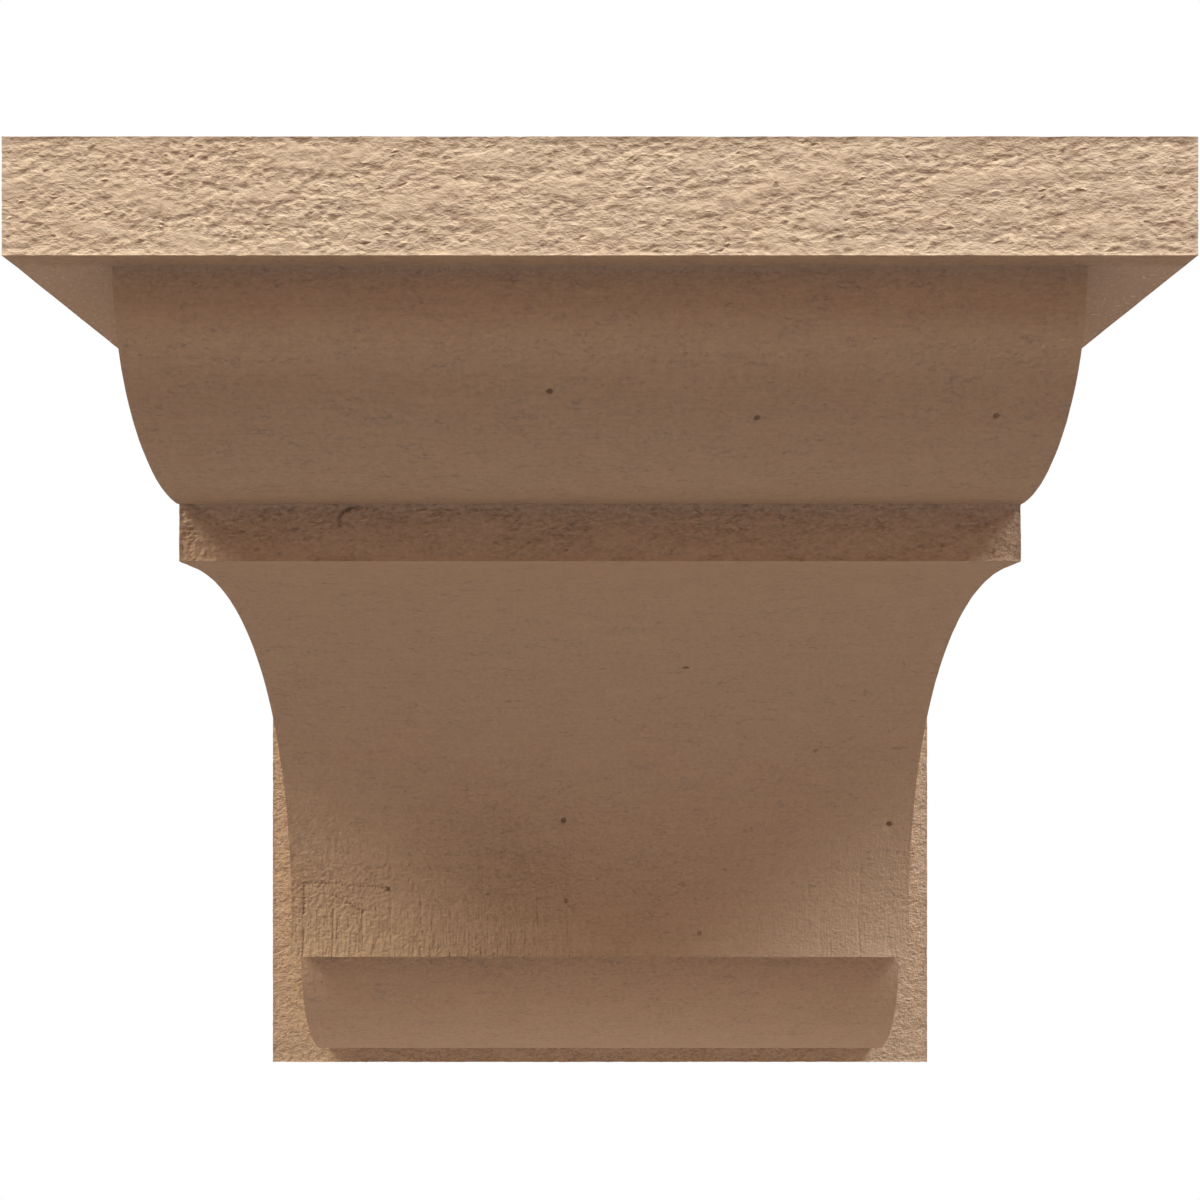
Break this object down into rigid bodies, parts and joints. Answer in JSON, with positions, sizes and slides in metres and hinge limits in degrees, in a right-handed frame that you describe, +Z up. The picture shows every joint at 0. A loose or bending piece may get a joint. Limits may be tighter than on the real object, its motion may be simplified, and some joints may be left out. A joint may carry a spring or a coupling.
{
  "type": "corbel",
  "caption": "Wall corbel moulded like rough-sawn timber: square cap slab, quarter round, fillet and cove body, and a back plate, to carry a beam, shelf or mantel.",
  "frame": {"origin": "centre of the back face, which meets the wall", "axes": "+Z up; +Y out of the back face into the wall, so the corbel reaches out towards -Y; +X to the right as seen from the front"},
  "size_m": [0.3048, 0.3048, 0.3048],
  "materials": {
    "faux_timber": "rough-sawn grain, matte tan primer"
  },
  "bodies": {
    "root": {"corbel": "faux_timber"}
  },
  "joints": []
}
